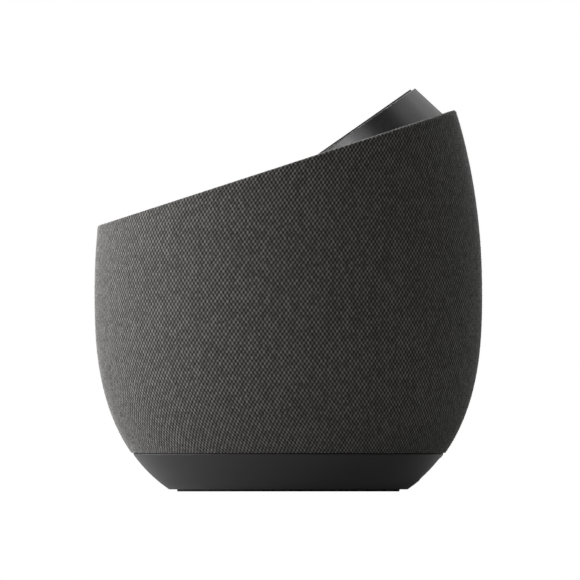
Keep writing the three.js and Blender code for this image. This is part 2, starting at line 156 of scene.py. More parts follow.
def turned(profile, segments=160):
    """A closed profile of [radius, height] points turned about Z. It runs anticlockwise."""
    points, faces, rings = [], [], []
    angles = np.arange(segments) * 2 * math.pi / segments
    for r, z in profile:
        start = len(points)
        if r < 1e-6:
            points.append((0, 0, z))
            rings.append([start] * segments)
        else:
            points += [(r * math.cos(a), r * math.sin(a), z) for a in angles]
            rings.append(list(range(start, start + segments)))
    on_axis = profile[0][0] < 1e-6
    for k in range(len(profile) - (1 if on_axis else 0)):
        low, high = rings[k], rings[(k + 1) % len(profile)]
        for i in range(segments):
            j = (i + 1) % segments
            face = dict.fromkeys((low[i], low[j], high[j], high[i]))
            if len(face) > 2:
                faces.append(tuple(face))
    return points, faces


def rounded(corners, steps=4):
    """An outline of [x, y, radius] corners with each corner turned into an arc."""
    outline = []
    for k, (x, y, radius) in enumerate(corners):
        here = np.array((x, y), float)
        back = np.array(corners[k - 1][:2], float) - here
        ahead = np.array(corners[(k + 1) % len(corners)][:2], float) - here
        if radius <= 0:
            outline.append(tuple(here))
            continue
        back /= np.linalg.norm(back)
        ahead /= np.linalg.norm(ahead)
        half = math.acos(np.clip(back @ ahead, -1, 1)) / 2
        reach = radius / math.tan(half)
        middle = back + ahead
        centre = here + middle / np.linalg.norm(middle) * radius / math.sin(half)
        start, end = here + back * reach - centre, here + ahead * reach - centre
        turn = math.atan2(start[0] * end[1] - start[1] * end[0], start @ end)
        for i in range(steps + 1):
            a = turn * i / steps
            c, s = math.cos(a), math.sin(a)
            spot = centre + (c * start[0] - s * start[1], s * start[0] + c * start[1])
            outline.append(tuple(spot))
    return outline


def plate(name, loops, thick, bevel, place):
    """A flat mesh with rounded edges from an outline and its holes, moved by place."""
    curve = bpy.data.curves.new(name, "CURVE")
    curve.dimensions, curve.fill_mode = "2D", "BOTH"
    curve.extrude = (thick / 2 - bevel) * MM
    curve.bevel_depth, curve.bevel_resolution, curve.offset = bevel * MM, 2, -bevel * MM
    for loop in loops:
        spline = curve.splines.new("POLY")
        spline.points.add(len(loop) - 1)
        for point, (x, y) in zip(spline.points, loop):
            point.co = (x * MM, y * MM, 0, 1)
        spline.use_cyclic_u = True
    holder = bpy.data.objects.new(name, curve)
    bpy.context.scene.collection.objects.link(holder)
    graph = bpy.context.evaluated_depsgraph_get()
    mesh = bpy.data.meshes.new_from_object(holder.evaluated_get(graph))
    bpy.data.objects.remove(holder)
    weld(mesh)
    mesh.transform(place @ Matrix.Translation((0, 0, -thick / 2 * MM)))
    piece = bpy.data.objects.new(name, mesh)
    bpy.context.scene.collection.objects.link(piece)
    return piece


def weld(mesh, gap=0.001):
    """Joins the points of a mesh that lie within a gap, in millimetres, of each other."""
    work = bmesh.new()
    work.from_mesh(mesh)
    bmesh.ops.remove_doubles(work, verts=work.verts, dist=gap * MM)
    work.to_mesh(mesh)
    work.free()


def cut_out(piece, points, faces):
    """Takes a closed tool, in millimetres, out of a piece."""
    mesh = bpy.data.meshes.new("tool")
    mesh.from_pydata(np.asarray(points, float) * MM, [], faces)
    tool = bpy.data.objects.new("tool", mesh)
    bpy.context.scene.collection.objects.link(tool)
    boolean = piece.modifiers.new("cut", "BOOLEAN")
    boolean.object, boolean.operation, boolean.solver = tool, "DIFFERENCE", "EXACT"
    graph = bpy.context.evaluated_depsgraph_get()
    made = bpy.data.meshes.new_from_object(piece.evaluated_get(graph))
    piece.modifiers.clear()
    piece.data = made
    bpy.data.objects.remove(tool)


def joined(first, *others):
    """Several loose meshes as one."""
    with bpy.context.temp_override(
        active_object=first, selected_editable_objects=[first, *others]
    ):
        bpy.ops.object.join()
    return first


def circle(x, y, radius, count=48):
    angles = np.arange(count) * 2 * math.pi / count
    return [(x + radius * math.cos(a), y + radius * math.sin(a)) for a in angles]


def slot_outline(half, radius, y, count=12):
    """A slot across X with round ends."""
    right = [-90 + 180 * i / count for i in range(count + 1)]
    ends = [(half, a) for a in right] + [(-half, a + 180) for a in right]
    return [(x + radius * math.cos(math.radians(a)), y + radius * math.sin(math.radians(a)))
            for x, a in ends]


# ------------------------------------------------------------ tilted frames
def tilted(tilt, y, z):
    """A place on the middle plane, turned about X."""
    return Matrix.Translation((0, y * MM, z * MM)) @ Matrix.Rotation(tilt, 4, "X")


ON_DECK = tilted(RIM_TILT, 0, RIM_HEIGHT - DECK_DROP / math.cos(RIM_TILT))


def cradle_to_world(x, y, h):
    """A point of the cradle's frame: x across, y up the slope, h off its face."""
    c, s = math.cos(CRADLE_TILT), math.sin(CRADLE_TILT)
    return (x, APEX_Y + y * c - h * s, APEX_Z + y * s + h * c)


def height_of_deck(y):
    """How far off the cradle's face the deck lies, at y up the slope."""
    c, s = math.cos(CRADLE_TILT), math.sin(CRADLE_TILT)
    deck = RIM_HEIGHT - DECK_DROP / math.cos(RIM_TILT)
    return (deck + TAN_RIM * (APEX_Y + y * c) - APEX_Z - y * s) / (c + TAN_RIM * s)


# ------------------------------------------------------------ materials
GRAIN = 0.00003  # metres, the depth of moulded and rubber grain
YARN_DRIFT = (0.32, 0.7, 0)  # how far the printed weave wanders, in threads
THREAD_TONES = (0.66, 1.26)  # darkest and lightest raised thread, times the mean


def material(name):
    made = bpy.data.materials.new(name)
    made.use_nodes = True
    tree = made.node_tree
    return made, tree, tree.nodes["Principled BSDF"]


def node(tree, kind, inputs=None, **settings):
    made = tree.nodes.new(kind)
    for key, value in settings.items():
        setattr(made, key, value)
    for key, value in (inputs or {}).items():
        if isinstance(value, bpy.types.NodeSocket):
            tree.links.new(value, made.inputs[key])
        else:
            made.inputs[key].default_value = value
    return made


def maths(tree, operation, a, b=0.0, c=0.0):
    made = node(tree, "ShaderNodeMath", {0: a, 1: b, 2: c}, operation=operation)
    return made.outputs[0]


def noise(tree, vector, scale, detail=2.0, roughness=0.5):
    inputs = {"Vector": vector, "Scale": scale, "Detail": detail, "Roughness": roughness}
    return node(tree, "ShaderNodeTexNoise", inputs).outputs["Fac"]


def remap(tree, value, low, high, to_low=0.0, to_high=1.0):
    inputs = {"Value": value, "From Min": low, "From Max": high, "To Min": to_low,
              "To Max": to_high}
    return node(tree, "ShaderNodeMapRange", inputs).outputs[0]


def mix_colour(tree, factor, a, b):
    made = node(tree, "ShaderNodeMix", data_type="RGBA")
    for socket, value in ((0, factor), (6, a), (7, b)):
        if isinstance(value, bpy.types.NodeSocket):
            tree.links.new(value, made.inputs[socket])
        else:
            made.inputs[socket].default_value = value
    return made.outputs[2]


def bump(tree, height, strength, distance):
    inputs = {"Height": height, "Strength": strength, "Distance": distance}
    return node(tree, "ShaderNodeBump", inputs).outputs["Normal"]


def grey(value, warm=0.0):
    return (value * (1 + warm / 2), value, value * (1 - warm), 1)


def object_place(tree):
    return node(tree, "ShaderNodeTexCoord").outputs["Object"]


def fabric_material():
    """Basket weave of two yarns, set out on the cloth's own yarn coordinates, with painted shade
    in the gaps between raised threads.
    """
    made, tree, shader = material("woven_fabric")
    place = object_place(tree)
    yarn = node(tree, "ShaderNodeAttribute", attribute_name="yarn").outputs["Vector"]
    drift = node(tree, "ShaderNodeTexNoise", {"Vector": yarn, "Scale": 1.1, "Detail": 2.0})
    drift = node(tree, "ShaderNodeVectorMath", {0: drift.outputs["Color"], 1: (0.5, 0.5, 0.5)},
                 operation="SUBTRACT").outputs[0]
    drift = node(tree, "ShaderNodeVectorMath", {0: drift, 1: YARN_DRIFT, 2: yarn},
                 operation="MULTIPLY_ADD").outputs[0]
    split = node(tree, "ShaderNodeSeparateXYZ", {0: drift})
    across, along = split.outputs[0], split.outputs[1]
    wave = maths(tree, "MULTIPLY",
                 maths(tree, "COSINE", maths(tree, "MULTIPLY", across, 2 * math.pi)),
                 maths(tree, "COSINE", maths(tree, "MULTIPLY", along, math.pi)))
    # crown marks the raised threads: the colour is painted lighter on them and darker in the
    # gaps between them, painted shade where the gaps lie in shade
    crown = remap(tree, wave, -0.5, 1.0)
    # each raised thread is one cell of a lattice turned by 45 degrees
    half = maths(tree, "MULTIPLY", along, 0.5)
    cells = [maths(tree, "ROUND", maths(tree, way, across, half)) for way in ("ADD", "SUBTRACT")]
    cell = node(tree, "ShaderNodeCombineXYZ", {0: cells[0], 1: cells[1]}).outputs[0]
    odd = node(tree, "ShaderNodeTexWhiteNoise", {"Vector": cell}).outputs["Value"]
    slub = noise(tree, node(tree, "ShaderNodeMapping", {0: yarn, 3: (0.5, 0.06, 1)}).outputs[0],
                 1.0, 2.0)
    fibre = noise(tree, place, 1500, 4.0, 0.75)
    # light carries that painted shade, times real tone that varies at random from thread to
    # thread and along the yarn, plus fibre noise
    light = maths(tree, "MULTIPLY", crown, remap(tree, odd, 0, 1, *THREAD_TONES))
    light = maths(tree, "MULTIPLY", light, remap(tree, slub, 0.3, 0.7, 0.93, 1.07))
    light = maths(tree, "ADD", light, remap(tree, fibre, 0.3, 0.7, -0.2, 0.2))
    colour = mix_colour(tree, light, grey(0.004, 0.05), grey(0.138, 0.07))
    tree.links.new(colour, shader.inputs["Base Color"])
    shader.inputs["Roughness"].default_value = 0.8
    shader.inputs["Specular IOR Level"].default_value = 0.3
    tree.links.new(remap(tree, light, 0, 1, 0.06, 0.6), shader.inputs["Sheen Weight"])
    shader.inputs["Sheen Roughness"].default_value = 0.4
    relief = maths(tree, "ADD", wave, maths(tree, "MULTIPLY", fibre, 1.2))
    tree.links.new(bump(tree, relief, 0.6, 0.0001), shader.inputs["Normal"])
    return made


def plastic_material(name, tone, roughness, specular=0.5):
    """Moulded plastic with a fine spark-eroded grain and faint uneven patches."""
    made, tree, shader = material(name)
    place = object_place(tree)
    fine = noise(tree, place, 3200, 2.0, 0.6)
    broad = noise(tree, place, 28, 3.0)
    colour = mix_colour(tree, remap(tree, broad, 0.3, 0.7), grey(tone * 0.92),
                        grey(tone * 1.08))
    tree.links.new(colour, shader.inputs["Base Color"])
    rough = remap(tree, maths(tree, "ADD", broad, maths(tree, "MULTIPLY", fine, 0.4)),
                  0.4, 1.0, roughness - 0.04, roughness + 0.05)
    tree.links.new(rough, shader.inputs["Roughness"])
    shader.inputs["Specular IOR Level"].default_value = specular
    tree.links.new(bump(tree, fine, 0.4, GRAIN), shader.inputs["Normal"])
    return made


def soft_material(name, tone, roughness):
    """Rubber or silicone: matt, with a very fine grain and a little dust."""
    made, tree, shader = material(name)
    place = object_place(tree)
    fine = noise(tree, place, 1900, 3.0, 0.6)
    dust = noise(tree, place, 90, 4.0, 0.7)
    colour = mix_colour(tree, remap(tree, dust, 0.45, 0.75), grey(tone), grey(tone * 1.35))
    tree.links.new(colour, shader.inputs["Base Color"])
    tree.links.new(remap(tree, dust, 0.3, 0.7, roughness - 0.05, roughness + 0.05),
                   shader.inputs["Roughness"])
    shader.inputs["Specular IOR Level"].default_value = 0.3
    tree.links.new(bump(tree, fine, 0.3, GRAIN), shader.inputs["Normal"])
    return made


def metal_material(name, colour, roughness, stretch=(1, 1, 30)):
    """Metal with fine drawn scratches."""
    made, tree, shader = material(name)
    place = node(tree, "ShaderNodeMapping", {0: object_place(tree), 3: stretch}).outputs[0]
    lines = noise(tree, place, 400, 3.0)
    dark = tuple(c * 0.85 for c in colour[:3]) + (1,)
    tree.links.new(mix_colour(tree, lines, dark, colour), shader.inputs["Base Color"])
    tree.links.new(remap(tree, lines, 0.3, 0.7, roughness - 0.06, roughness + 0.08),
                   shader.inputs["Roughness"])
    shader.inputs["Metallic"].default_value = 1
    tree.links.new(bump(tree, lines, 0.2, 0.00002), shader.inputs["Normal"])
    return made


def board_material():
    """Green solder mask over a pattern of copper tracks."""
    made, tree, shader = material("circuit_board")
    place = object_place(tree)
    cells = node(tree, "ShaderNodeTexVoronoi", {"Vector": place, "Scale": 220},
                 distance="MANHATTAN", feature="F1")
    tracks = remap(tree, cells.outputs["Distance"], 0.32, 0.36)
    colour = mix_colour(tree, tracks, (0.012, 0.06, 0.028, 1), (0.02, 0.1, 0.045, 1))
    tree.links.new(colour, shader.inputs["Base Color"])
    shader.inputs["Roughness"].default_value = 0.35
    tree.links.new(bump(tree, tracks, 0.3, GRAIN), shader.inputs["Normal"])
    return made


FABRIC = fabric_material()
BASE = plastic_material("base_plastic", 0.017, 0.4)
DECK = plastic_material("deck_plastic", 0.028, 0.52, specular=0.3)
CRADLE = plastic_material("cradle_plastic", 0.045, 0.27, specular=1.0)
KEY = plastic_material("key_plastic", 0.034, 0.36)
CASING = plastic_material("casing_plastic", 0.02, 0.5)
INLET = plastic_material("inlet_plastic", 0.012, 0.3)
MARK = plastic_material("mark_ink", 0.45, 0.6)
LIGHT = plastic_material("light_guide", 0.62, 0.35)
RUBBER = soft_material("foot_rubber", 0.012, 0.75)
PAD = soft_material("pad_silicone", 0.01, 0.65)
CONE = soft_material("cone_pulp", 0.02, 0.85)
SPIDER = soft_material("spider_cloth", 0.2, 0.9)
FERRITE = soft_material("ferrite", 0.03, 0.5)
STEEL = metal_material("zinc_steel", (0.56, 0.57, 0.58, 1), 0.32)
ALUMINIUM = metal_material("aluminium", (0.7, 0.71, 0.72, 1), 0.38)
COPPER = metal_material("copper_wire", (0.72, 0.36, 0.2, 1), 0.35, (1, 1, 1))
BOARD = board_material()
NODE_LOOKS = {
    "casing": CASING, "rubber": RUBBER, "board": BOARD, "aluminium": ALUMINIUM,
    "copper": COPPER, "ferrite": FERRITE, "steel": STEEL, "light": LIGHT, "cone": CONE,
    "spider": SPIDER, "pad": PAD, "fabric": FABRIC, "base": BASE, "deck": DECK,
    "cradle": CRADLE, "button": KEY, "inlet": INLET,
}


def dress_cad_nodes():
    """Gives the CAD pieces inside the casing their materials."""
    for entry in frame["record"]["subparts"]:
        mesh = frame["nodes"][entry["node"]].data
        mesh.materials.clear()
        mesh.materials.append(NODE_LOOKS[entry["material_slot"]])
        mesh.shade_smooth()
        mesh.set_sharp_from_angle(angle=math.radians(30))


# ------------------------------------------------------------ fabric sleeve
HEM, ROLL, TUCK = 0.22, 1.1, 1.0  # radii of the lower hem and of the two rim bends
RIM_WIDTH, FLAP, CLOTH = 4.0, 2.2, 0.75
CROWN, VALLEY = 0.14, -0.1  # how far the weave's floats stand up and its gaps lie down
COLUMN_STEP = math.pi / DOTS_ROUND


def wall_table():
    """Heights, radii and distance along the wall from the fabric's lower edge."""
    z = np.linspace(BASE_EDGE + SEAM_GAP, APEX_Z - 0.65, 3000)
    r = body_radius(z)
    s = np.concatenate([[0], np.cumsum(np.hypot(np.diff(z), np.diff(r)))])
    return z, r, s


def unit(a, b):
    length = np.hypot(a, b)
    return np.stack([a / length, b / length], -1)


class SleevePath:
    """The line that the cloth follows up the wall, over the rim and into the gap."""

    def __init__(self):
        self.z, self.r, self.s = wall_table()
        self.phi = np.linspace(0, math.pi, 361)
        slope = -TAN_RIM * np.cos(self.phi)
        over = self.z[None] - slope[:, None] * self.r[None] - RIM_HEIGHT
        self.corner = np.array([np.interp(0, row, self.s) for row in over])

    def wall(self, s):
        """Point, tangent and inward normal on the wall."""
        step = 0.05
        point = np.stack([np.interp(s, self.s, self.r), np.interp(s, self.s, self.z)], -1)
        ahead = np.stack([np.interp(s + step, self.s, self.r),
                          np.interp(s + step, self.s, self.z)], -1)
        tangent = ahead - point
        tangent /= np.linalg.norm(tangent, axis=-1, keepdims=True)
        return point, tangent, np.stack([-tangent[..., 1], tangent[..., 0]], -1)

    def ends(self, phi):
        """Distances along the path where each stretch ends, at an angle from the front."""
        corner = np.interp(np.abs(phi), self.phi, self.corner)
        point, tangent, normal = self.wall(corner)
        slope = -TAN_RIM * np.cos(phi)
        inward = unit(-np.ones_like(slope), -slope)
        turn = np.arccos(np.clip((tangent * inward).sum(-1), -1, 1))
        last = np.arccos(np.clip(-inward[..., 1], -1, 1))
        reach, tuck = ROLL * np.tan(turn / 2), TUCK * np.tan(last / 2)
        first = corner - reach
        flat = first + ROLL * turn
        bend = flat + RIM_WIDTH - reach - tuck
        drop = bend + TUCK * last
        return dict(point=point, tangent=tangent, normal=normal, inward=inward, turn=turn,
                    last=last, reach=reach, tuck=tuck, first=first, flat=flat, bend=bend,
                    drop=drop, end=drop + FLAP)

    def at(self, phi, s):
        """Points [radius, height] and the normal into the cloth, for arrays of both."""
        e = self.ends(phi)
        on_wall, _, wall_normal = self.wall(np.clip(s, HEM, e["first"]))
        _, t0, n0 = self.wall(np.full_like(s, HEM))
        sweep = np.clip((HEM - s) / HEM, 0, math.pi / 2)[..., None]
        hem_normal = n0 * np.cos(sweep) + t0 * np.sin(sweep)
        hem = on_wall + (n0 - hem_normal) * HEM

        t1, n1, inward = e["tangent"], e["normal"], e["inward"]
        a = np.clip((s - e["first"]) / ROLL, 0, e["turn"])[..., None]
        roll_normal = n1 * np.cos(a) - t1 * np.sin(a)
        roll = e["point"] - t1 * e["reach"][..., None] + (n1 - roll_normal) * ROLL

        down = np.stack([inward[..., 1], -inward[..., 0]], -1) * -1
        along = np.clip(s - e["flat"], 0, e["bend"] - e["flat"])
        flat = e["point"] + inward * (e["reach"] + along)[..., None]
        b = np.clip((s - e["bend"]) / TUCK, 0, e["last"])[..., None]
        tuck_normal = down * np.cos(b) - inward * np.sin(b)
        tuck = e["point"] + inward * (RIM_WIDTH - e["tuck"])[..., None]
        tuck = tuck + (down - tuck_normal) * TUCK
        drop = np.clip(s - e["drop"], 0, FLAP)
        tuck = tuck - np.stack([np.zeros_like(drop), drop], -1)

        stages = [(s < HEM), (s <= e["first"]), (s <= e["flat"]), (s <= e["bend"])]
        stages = [stage[..., None] for stage in stages]
        spots = np.select(stages, [hem, on_wall, roll, flat], tuck)
        normals = np.select(stages, [hem_normal, wall_normal, roll_normal, down], tuck_normal)
        return spots, normals


# where the rows over the rim lie: whole part the stretch, fraction the place along it
RIM_STEPS = np.concatenate([np.linspace(0, 1, 9)[1:], 1 + np.linspace(0, 1, 4)[1:],
                            2 + np.linspace(0, 1, 5)[1:], 3 + np.linspace(0, 1, 3)[1:]])


def row_distance(row, ends):
    """Distance up the path of a row: even steps up the wall, then set ones over the rim."""
    s = HEM + row * ROW_PITCH
    past = np.floor(row - (ends["first"] - HEM) / ROW_PITCH).astype(int)
    steps = RIM_STEPS[np.clip(past, 0, len(RIM_STEPS) - 1)]
    stops = [ends[key] for key in ("first", "flat", "bend", "drop", "end")]
    stage = np.minimum(steps.astype(int), 3)
    rim = sum(np.where(stage == k, stops[k] + (stops[k + 1] - stops[k]) * (steps - k), 0)
              for k in range(4))
    return np.where(s <= ends["first"], s, rim)


def fabric_points(path, column, row=None, s=None):
    """Angle, points and normals of a grid of cloth points, and their place in the weave."""
    phi = column * COLUMN_STEP
    # a point's angle depends on its height, and its height on its angle: these settle
    for _ in range(9):
        ends = path.ends(phi)
        here = row_distance(row, ends) if s is None else np.minimum(s, ends["end"])
        wall_s = np.clip(here, 0, ends["first"])
        spread = (RADIUS / np.interp(wall_s, path.s, path.r)) ** SHRINK
        phi = np.clip(column * COLUMN_STEP * spread, -math.pi, math.pi)
    spots, normals = path.at(phi, here)
    weave = np.stack([phi / COLUMN_STEP / 2 / spread, (here - HEM) / ROW_PITCH], -1)
    return phi, spots, normals, weave


def around_body(phi, spots):
    r, z = spots[..., 0], spots[..., 1]
    return np.stack([r * np.sin(phi), -r * np.cos(phi), z], -1)


def fabric_sleeve():
    """Cloth with a raised point for each float of its weave, on its real thickness."""
    path = SleevePath()
    columns = np.arange(-DOTS_ROUND, DOTS_ROUND + 1)
    count = len(columns)
    hem = (HEM - HEM * np.array([math.pi / 2, 1.05, 0.52]))[:, None]
    phi, spots, normals, weave = fabric_points(path, columns[None], s=hem)
    points, weaves = [around_body(phi, spots)], [weave]

    longest = (path.ends(np.array([math.pi]))["first"].max() - HEM) / ROW_PITCH
    row, column = np.meshgrid(np.arange(int(longest) + len(RIM_STEPS) + 1), columns,
                              indexing="ij")
    phi, spots, normals, weave = fabric_points(path, column, row=row)
    wave = np.cos(2 * math.pi * weave[..., 0]) * np.cos(math.pi * weave[..., 1])
    raised = (CROWN + VALLEY) / 2 + (CROWN - VALLEY) / 2 * wave
    raised *= rng.uniform(0.7, 1.3, raised.shape)
    raised[np.abs(phi) > math.pi - 1e-9] = VALLEY
    raised[weave[..., 1] * ROW_PITCH + HEM > path.ends(phi)["end"] - 0.05] = 0
    points.append(around_body(phi, spots - normals * raised[..., None]))
    weaves.append(weave)
    outer = len(hem) + len(row)

    ends = path.ends(phi[-1])
    marks = [ends[key] for key in ("end", "drop", "bend", "flat", "first")]
    marks += [ends["first"] + (HEM * 2 - ends["first"]) * k / 12 for k in range(1, 13)]
    for mark in marks:
        phi, spots, normals, weave = fabric_points(path, columns[None], s=mark[None])
        points.append(around_body(phi, spots + normals * CLOTH))
        weaves.append(weave)
    points, weaves = np.concatenate(points), np.concatenate(weaves)

    total, faces = len(points), []
    for low in range(total):
        above = (low + 1) % total
        for i in range(count - 1):
            a, b = low * count + i, low * count + i + 1
            c, d = above * count + i + 1, above * count + i
            # on the outside each square is split between its two low points
            if low >= outer - 1:
                faces.append((a, b, c, d))
            elif (columns[i] + low - len(hem)) % 2:
                faces += [(a, b, c), (a, c, d)]
            else:
                faces += [(a, b, d), (b, c, d)]
    points, weaves = points.reshape(-1, 3), weaves.reshape(-1, 2)
    return points, weaves, [face for face in faces if spread_of(points[list(face)]) > 1e-5]


def spread_of(corners):
    """Area of a face, in square millimetres."""
    sides = corners[1:] - corners[0]
    return np.linalg.norm(np.cross(sides[:-1], sides[1:]).sum(0)) / 2


def build_sleeve():
    points, weaves, faces = fabric_sleeve()
    mesh = bpy.data.meshes.new("fabric_sleeve_woven")
    mesh.from_pydata(points * MM, [], faces)
    layer = mesh.uv_layers.new(name="yarn")
    corners = np.empty(len(mesh.loops), np.int32)
    mesh.loops.foreach_get("vertex_index", corners)
    layer.data.foreach_set("uv", weaves[corners].astype(np.float32).ravel())
    weld(mesh, 0.005)
    piece = bpy.data.objects.new("fabric_sleeve_woven", mesh)
    bpy.context.scene.collection.objects.link(piece)
    finish_piece(piece, FABRIC, BODY, ("fabric_sleeve",), sharp=75)


# ------------------------------------------------------------ base and foot
def wall_profile(low, high, count):
    return [(float(body_radius(z)) - BASE_INSET, z) for z in np.linspace(low, high, count)]


def build_base():
    """The moulded bowl under the fabric, with its foot groove and power recess."""
    groove = FOOT_CLEAR + GROOVE_DEPTH
    dish = FOOT_CLEAR + DISH_RISE
    wall = wall_profile(FOOT_CLEAR + 2.2, SEAM - 0.35, 26)
    lowest = wall_profile(FOOT_CLEAR, SEAM, 2)[0]
    under = [(0, dish, 0), (DISH_RADIUS, dish, 0), (DISH_RADIUS + 0.4, FOOT_CLEAR, 0.2),
             (FOOT_INNER - GROOVE_GAP, FOOT_CLEAR, 0.25), (FOOT_INNER - GROOVE_GAP, groove, 0),
             (FOOT_OUTER + GROOVE_GAP, groove, 0), (FOOT_OUTER + GROOVE_GAP, FOOT_CLEAR, 0.25),
             (*lowest, 0.8), (*wall[0], 0)]
    middle = [(r, z, 0) for r, z in wall[1:]]
    lip = wall[-1][0] + 0.15
    top = [(lip, BASE_EDGE, 0.15), (SPIGOT_OUTER, BASE_EDGE, 0), (SPIGOT_OUTER, SPIGOT_TOP, 0),
           (SPIGOT_INNER, SPIGOT_TOP, 0), (BOWL_RADIUS, BOWL_BEND, 0),
           (BOWL_FLOOR_RADIUS, BOWL_FLOOR, 0), (0, BOWL_FLOOR, 0)]
    points, faces = turned(rounded([*under, *middle, *top]))
    base = make("base_bowl_moulded", points, faces, BASE, "base", replaces=("base_bowl",))
    recess = rounded([(x, z, RECESS_CORNER) for x, z in (
        (-RECESS_HALF, RECESS_LOW), (RECESS_HALF, RECESS_LOW),
        (RECESS_HALF, RECESS_HIGH), (-RECESS_HALF, RECESS_HIGH))], 6)
    cut_out(base, *loft([[(x, y, z) for x, z in recess] for y in RECESS_REACH]))
    finish_piece(base, BASE, BODY, ())


def build_seam_strip():
    """The dark rubber strip that closes the seam behind the cloth's hem; it is dark to stand in
    for the shade in the seam's gap, painted shade.
    """
    outer = float(body_radius(SEAM)) - 0.45
    low, high = BASE_EDGE + 0.01, SEAM + 0.45
    outline = rounded([(outer - 1.2, low, 0), (outer, low, 0.1), (outer, high, 0.1),
                       (outer - 1.2, high, 0)])
    make("seam_strip", *turned(outline), RUBBER, "rubber")


def build_foot():
    outline = rounded([(FOOT_INNER, 0, 0.35), (FOOT_OUTER, 0, 0.35),
                       (FOOT_OUTER, FOOT_TOP, 0.2), (FOOT_INNER, FOOT_TOP, 0.2)])
    make("foot_ring_soft", *turned(outline), RUBBER, "rubber", replaces=("foot_ring",))


def build_inlet():
    """A barrel socket: a face plate with a round bore, its sleeve and its pin."""
    place = tilted(math.pi / 2, INLET_Y, INLET_Z) @ Matrix.Rotation(math.pi, 4, "Y")
    outline = rounded([(x, y, INLET_CORNER) for x, y in (
        (-INLET_ACROSS, -INLET_UP), (INLET_ACROSS, -INLET_UP),
        (INLET_ACROSS, INLET_UP), (-INLET_ACROSS, INLET_UP))])
    bore = circle(0, 0, SOCKET_RADIUS + 0.1)
    face = plate("dc_inlet_face", [outline, bore], INLET_THICK, 0.2, place)
    outer, inside = SOCKET_RADIUS + SOCKET_WALL, SOCKET_LENGTH - SOCKET_END
    sleeve = [(SOCKET_RADIUS, 0), (outer, 0), (outer, SOCKET_LENGTH), (0, SOCKET_LENGTH),
              (0, inside), (SOCKET_RADIUS, inside)]
    points, faces = turned(sleeve, 48)
    mouth = INLET_Y - 0.4
    points = [(x, mouth - z, INLET_Z + y) for x, y, z in points]
    joined(face, make("dc_inlet_tube", points, faces, INLET))
    finish_piece(face, INLET, BODY, ("dc_inlet",), sharp=8)
    pin = rounded([(0, 0, 0), (PIN_RADIUS, 0, 0), (PIN_RADIUS, PIN_LENGTH, 0.4),
                   (0, PIN_LENGTH, 0)])
    points, faces = turned(pin, 32)
    points = [(x, mouth - inside + z, INLET_Z - y) for x, y, z in points]
    make("dc_inlet_pin", points, faces, STEEL, "steel")


# ------------------------------------------------------------ deck, trough and cradle
def arch(grow, count=96):
    """The cradle's outline, crown at the origin and foot down the slope, anticlockwise."""
    radius, corner = ARCH_RADIUS + grow, max(ARCH_CORNER + grow, 0.5)
    foot = -ARCH_LENGTH - grow
    arcs = [(0, -ARCH_RADIUS, radius, 0, 180, count // 2),
            (-radius + corner, foot + corner, corner, 180, 270, count // 8),
            (radius - corner, foot + corner, corner, 270, 360, count // 8)]
    outline = []
    for x, y, r, start, end, steps in arcs:
        for a in np.radians(np.linspace(start, end, steps + 1)):
            outline.append((x + r * math.cos(a), y + r * math.sin(a)))
    return outline


def deck_outline():
    """The deck's edge in its own plane: the body's wall, inset and cut by the slope."""
    outline = []
    for a in np.arange(240) * 2 * math.pi / 240:
        r = RADIUS
        for _ in range(30):
            y = r * math.sin(a)
            r = float(body_radius(RIM_HEIGHT - DECK_DROP + TAN_RIM * y)) - DECK_INSET
        outline.append((r * math.cos(a), r * math.sin(a) / math.cos(RIM_TILT)))
    return outline


def arch_on_deck():
    """The arch's outline carried along the cradle's normal to the deck's plane."""
    outline = []
    for x, y in arch(0):
        _, world_y, _ = cradle_to_world(x, y, height_of_deck(y))
        outline.append((x, world_y / math.cos(RIM_TILT)))
    return outline


def build_deck():
    """The deck plate with the keys' holes, and the walls of the phone trough."""
    holes = [circle(i * BUTTON_PITCH, BUTTON_ROW, BUTTON_RADIUS + BUTTON_GAP)
             for i in range(-2, 3)]
    holes += [circle(side * MIC_ACROSS, MIC_ROW, MIC_RADIUS, 16) for side in (-1, 1)]
    holes.append(slot_outline(LIGHT_LENGTH / 2, LIGHT_WIDTH / 2 + LIGHT_GAP, LIGHT_ROW))
    loops = [deck_outline(), arch_on_deck(), *holes]
    deck = plate("top_deck_moulded", loops, DECK_THICK, 0.3, ON_DECK)
    rings = []
    for grow, at_top in ((TROUGH_GAP, True), (TROUGH_GAP, False),
                         (TROUGH_OUTER, False), (TROUGH_OUTER, True)):
        ring = []
        for x, y in arch(grow):
            land = height_of_deck(y)
            h = land - TROUGH_DROP if at_top else min(-TROUGH_DEPTH, land - 3)
            ring.append(cradle_to_world(x, y, h))
        rings.append(ring)
    points, faces = loft(rings, closed=True)
    joined(deck, make("trough_wall", points, faces, DECK))
    finish_piece(deck, DECK, BODY, ("top_deck",), sharp=8)


